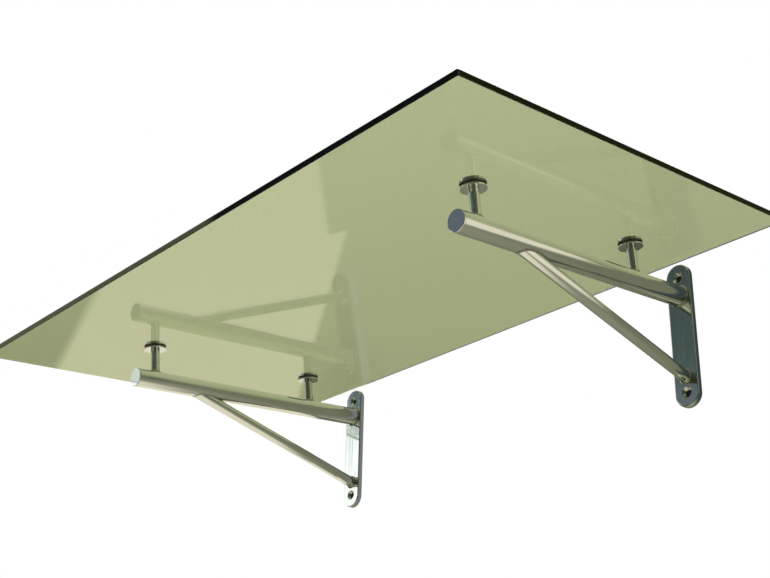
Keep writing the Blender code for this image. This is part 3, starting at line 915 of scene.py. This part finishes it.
def pane_shade(tree, across, height):
    """Where the pane's painted shade lies on the board.

    Its left side is the line x = -0.712 - 0.744 z above z = -0.352 and x = -0.527 below, wider again from
    -0.58 down. Its right side is x = 0.826 - 0.62 z. Its top is at the pane. Its bottom falls to the right.
    """
    upper = rise(tree, height, -0.362, -0.342)
    upper_edge = plus(tree, times(tree, height, -0.744), -0.712)
    left_edge = plus(tree, times(tree, upper, upper_edge), times(tree, inverse(tree, upper), -0.527),
                     spread(tree, height, -0.45, 0.0, -0.70, -0.58),
                     spread(tree, height, 0.13, 0.0, -0.85, -0.58))
    left = maths(tree, "SUBTRACT", across, left_edge)
    right = maths(tree, "SUBTRACT", across, times(tree, maths(tree, "SUBTRACT", 0.09, height), 0.62))
    tail = plus(tree, height, spread(tree, across, 0.0, 0.30, -0.10, 0.45))
    return times(tree, rise(tree, left, -0.02, 0.02), fall(tree, right, 0.68, 0.86),
                 fall(tree, height, 0.08, 0.10), rise(tree, tail, -1.03, -0.55))


def marked(tree, tone, first, second, colour):
    """A tone, with a colour over it where two masks meet."""
    return blend(tree, times(tree, first, second), tone, colour)


def board_tone(tree, place, crossed):
    """The board's colour: a painted lit tone, with the pane's painted shade and darker marks that single parts
    mirror.

    They are painted shade round the arms' feet and beside each plate, a dark band along the line z = 0.916 x -
    0.59 that the pane's right edge mirrors, and a dark slanting band far to the left. Through the pane, the
    board above it is paler.
    """
    parts = node(tree, "ShaderNodeSeparateXYZ", {"Vector": place}).outputs
    across, height = parts["X"], parts["Z"]
    tone = blend(tree, pane_shade(tree, across, height), LIT_BOARD,
                 blend(tree, rise(tree, height, -0.62, -0.12), *SHADED_BOARD))

    below_pane = fall(tree, height, 0.07, 0.11)
    # Painted contact shade round the arms' feet, below the pane only
    for centre, reach, painted_shade in ((-0.55, 0.20, (0.07, 0.085, 0.055)), (0.43, 0.17, (0.10, 0.12, 0.080))):
        near = fall(tree, distance(tree, place, (centre, 0.0, 0.05)), 0.02, reach)
        tone = marked(tree, tone, near, below_pane, painted_shade)
    # Painted shade in a strip beside each plate
    for side, painted_shade in (("left", (0.25, 0.265, 0.275)), ("right", (0.052, 0.074, 0.076))):
        edge = PLATES[side][1].x
        tone = marked(tree, tone, window(tree, across, edge - 0.01, edge + 0.03, 0.01),
                      window(tree, height, -0.26, 0.07, 0.02), painted_shade)
    over_line = plus(tree, height, times(tree, across, -0.916))
    tone = marked(tree, tone, window(tree, across, 0.765, 1.85, 0.02),
                  window(tree, over_line, -0.648, -0.523, 0.015), (0.12, 0.15, 0.05))
    slant = plus(tree, across, times(tree, height, 1.6))
    tone = marked(tree, tone, window(tree, slant, -4.2, -2.63, 0.07),
                  window(tree, height, -0.75, -0.20, 0.05), (0.02, 0.03, 0.02))
    tone = marked(tree, tone, rise(tree, height, 0.06, 0.12), crossed, (1.12, 1.11, 1.10))
    return blend(tree, rise(tree, height, 2.0, 7.5), tone, TOP_PANEL)


def build_reflector():
    """A glowing reflector board in the plane of the plates' backs, which only mirrors see; its tones are
    painted light and painted shade.

    Seen through the screw holes, from the front only, it shows dark discs of painted shade.
    """
    side = np.array([-BOARD_REACH, 0.0, BOARD_REACH])
    x, z = np.meshgrid(side, side - BOARD_DROP)
    board = flat_sheet("reflector_board", rows_of(x, BOARD_Y, z))
    finish, tree, output = new_finish("reflector_board")
    finish.cycles.emission_sampling = "NONE"
    place = object_place(tree)
    path = node(tree, "ShaderNodeLightPath").outputs
    tone = board_tone(tree, place, has_crossed_pane(tree, path))

    bracket, upper = settings("bracket"), upper_hole_height()
    reach = HOLE_SHADE * bracket.screw_diameter
    # Dark discs behind the screw holes: painted shade that the camera sees through them from the front
    holes = maths(tree, "MAXIMUM", *(
        maths(tree, "LESS_THAN", distance(tree, place, (centre, 0.0, level)), reach)
        for centre in SIDES.values() for level in (upper, upper - bracket.hole_spacing)))
    tone = blend(tree, holes, tone, (0.010, 0.012, 0.010))
    from_back = node(tree, "ShaderNodeNewGeometry").outputs["Backfacing"]
    shown = maths(tree, "MAXIMUM", maths(tree, "GREATER_THAN", path["Glossy Depth"], 0.5),
                  times(tree, holes, inverse(tree, from_back)))
    glow = node(tree, "ShaderNodeEmission", {"Color": tone}).outputs[0]
    clear = node(tree, "ShaderNodeBsdfTransparent").outputs[0]
    tree.links.new(either(tree, shown, clear, glow), output.inputs["Surface"])
    board.data.materials.append(finish)
    board.visible_shadow = False


def build_floor():
    """A wide pale floor that keeps the canopy's soft shadow and fades to plain white towards the horizon."""
    stage = settings("stage")
    side = np.linspace(-stage.floor_size / 2, stage.floor_size / 2, 3)
    x, y = np.meshgrid(side, side)
    floor = flat_sheet("floor", rows_of(x, y, stage.floor_height))
    finish, tree, output = new_finish("pale_floor")
    far = rise(tree, distance(tree, object_place(tree), (0.0, 0.0, stage.floor_height)), 1.5, 5.0)
    matt = node(tree, "ShaderNodeBsdfDiffuse", {"Color": (0.93, 0.93, 0.93, 1.0)}).outputs[0]
    white = node(tree, "ShaderNodeEmission", {"Color": WHITE}).outputs[0]
    clear = node(tree, "ShaderNodeBsdfTransparent").outputs[0]
    to_camera = node(tree, "ShaderNodeLightPath").outputs["Is Camera Ray"]
    top = either(tree, times(tree, far, to_camera), matt, white)
    under = node(tree, "ShaderNodeNewGeometry").outputs["Backfacing"]
    tree.links.new(either(tree, under, top, clear), output.inputs["Surface"])
    floor.data.materials.append(finish)
    floor.visible_glossy = False
    floor.visible_transmission = False


def build_lamp():
    """One wide soft box overhead, which gives the floor's shadow a side."""
    data = bpy.data.lights.new("overhead_soft_box", "AREA")
    data.shape = "RECTANGLE"
    data.size, data.size_y = 2.4, 1.8
    data.energy = settings("stage").lamp_power
    lamp = add("overhead_soft_box", data)
    lamp.location = (-1.2, -1.6, 2.6)
    lamp.rotation_euler = Euler((math.radians(-32), math.radians(-22), 0.0))
    lamp.visible_glossy = False
    lamp.visible_transmission = False


def build_camera():
    """The photograph's camera: below the pane, in front and to the right, with a small shift."""
    data = bpy.data.cameras.new("photo_camera")
    data.sensor_width = 36.0
    data.lens = 59.093
    data.shift_x, data.shift_y = -0.00581, 0.04987
    data.clip_start, data.clip_end = 0.05, 200.0
    camera = add("photo_camera", data)
    camera.location = (1.82853, -1.99765, -1.11886)
    camera.rotation_euler = Euler((math.radians(114.1493), math.radians(-1.0556), math.radians(47.4627)))
    bpy.context.scene.camera = camera


# Operators

def build_pair(makers, kind="polished_steel"):
    """Makes one steel piece on each arm for each named maker."""
    for name, maker in makers.items():
        points, polish = maker()
        for side in SIDES:
            make_piece(side + "_" + name, [(sloped(points, side), polish)], kind)


def build_each_clamp(makers, slot, kind=None):
    """Makes one piece at each of the four clamps for each named maker."""
    for name, maker in makers.items():
        points, polish = maker()
        height = heights().get(name, 0.0)
        for side in SIDES:
            for place in PLACES:
                placed = sloped(points + np.array([0.0, clamp_y(place), height]), side)
                make_piece(side + "_" + place + "_" + name, [(placed, polish)], kind or slot)


class CANOPY_OT_pane(bpy.types.Operator):
    """Gives the pane its tinted glass"""
    bl_idname = "canopy.pane"
    bl_label = "Glass pane"

    def execute(self, context):
        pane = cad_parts["glass_pane"]
        pane.data.materials.clear()
        pane.data.materials.append(finish_of("tinted_glass"))
        return {"FINISHED"}


class CANOPY_OT_wall_plates(bpy.types.Operator):
    """Makes the two round-ended wall plates with their countersunk holes"""
    bl_idname = "canopy.wall_plates"
    bl_label = "Wall plates"

    def execute(self, context):
        for side in SIDES:
            make_piece(side + "_wall_plate", wall_plate(side), "polished_steel")
        return {"FINISHED"}


class CANOPY_OT_arms(bpy.types.Operator):
    """Makes the arm tubes and their end caps"""
    bl_idname = "canopy.arms"
    bl_label = "Arms and end caps"

    def execute(self, context):
        build_pair({"arm_tube": arm_tube, "arm_end_cap": arm_end_cap})
        return {"FINISHED"}


class CANOPY_OT_braces(bpy.types.Operator):
    """Makes the brace tubes, coped to the arms"""
    bl_idname = "canopy.braces"
    bl_label = "Braces"

    def execute(self, context):
        build_pair({"brace_tube": brace_tube})
        return {"FINISHED"}


class CANOPY_OT_welds(bpy.types.Operator):
    """Makes the fillets that join tubes, plates and posts"""
    bl_idname = "canopy.welds"
    bl_label = "Welds"

    def execute(self, context):
        build_pair({"arm_weld": arm_weld, "brace_foot_weld": brace_foot_weld,
                    "brace_top_weld": brace_top_weld}, "dressed_weld")
        build_each_clamp({"post_weld": post_weld}, "polished_steel", "dressed_weld")
        return {"FINISHED"}


class CANOPY_OT_clamps(bpy.types.Operator):
    """Makes the posts, discs and bolts that hold the glass"""
    bl_idname = "canopy.clamps"
    bl_label = "Posts, discs and bolts"

    def execute(self, context):
        build_each_clamp({"post": post, "lower_disc": lower_disc, "upper_disc": upper_disc,
                          "clamp_bolt": clamp_bolt}, "polished_steel")
        return {"FINISHED"}


class CANOPY_OT_cushions(bpy.types.Operator):
    """Makes the gaskets and sleeves that keep metal off the glass"""
    bl_idname = "canopy.cushions"
    bl_label = "Gaskets and sleeves"

    def execute(self, context):
        build_each_clamp({"lower_gasket": gasket, "upper_gasket": gasket}, "black_rubber")
        build_each_clamp({"hole_sleeve": hole_sleeve}, "clear_nylon")
        return {"FINISHED"}


class CANOPY_OT_stage(bpy.types.Operator):
    """Makes the surroundings, the floor, the lamp and the camera"""
    bl_idname = "canopy.stage"
    bl_label = "Studio and camera"

    def execute(self, context):
        context.scene.view_settings.view_transform = "Standard"
        surroundings()
        build_reflector()
        build_floor()
        build_lamp()
        build_camera()
        return {"FINISHED"}


class CANOPY_PT_panel(bpy.types.Panel):
    """Lists the settings and the steps that make the canopy"""
    bl_idname = "CANOPY_PT_panel"
    bl_label = "Glass door canopy"
    bl_space_type = "VIEW_3D"
    bl_region_type = "UI"
    bl_category = "Canopy"

    def draw(self, context):
        for group in SETTINGS:
            box = self.layout.box()
            box.label(text=group.capitalize())
            for name in SETTINGS[group].__annotations__:
                box.prop(settings(group), name)
        for operator in OPERATORS:
            self.layout.operator(operator.bl_idname)


SETTINGS = {"pane": PaneSettings, "bracket": BracketSettings, "clamp": ClampSettings,
            "finish": FinishSettings, "stage": StageSettings}
OPERATORS = (CANOPY_OT_pane, CANOPY_OT_wall_plates, CANOPY_OT_arms, CANOPY_OT_braces, CANOPY_OT_welds,
             CANOPY_OT_clamps, CANOPY_OT_cushions, CANOPY_OT_stage)
CLASSES = (*SETTINGS.values(), *OPERATORS, CANOPY_PT_panel)


def register():
    for made in CLASSES:
        bpy.utils.register_class(made)
    for group, kind in SETTINGS.items():
        setattr(bpy.types.Scene, "canopy_" + group, PointerProperty(type=kind))


def unregister():
    for group in SETTINGS:
        delattr(bpy.types.Scene, "canopy_" + group)
    for made in reversed(CLASSES):
        bpy.utils.unregister_class(made)


def main():
    register()
    bpy.ops.canopy.pane()
    bpy.ops.canopy.wall_plates()
    bpy.ops.canopy.arms()
    bpy.ops.canopy.braces()
    bpy.ops.canopy.welds()
    bpy.ops.canopy.clamps()
    bpy.ops.canopy.cushions()
    bpy.ops.canopy.stage()


if __name__ == "__main__":
    main()
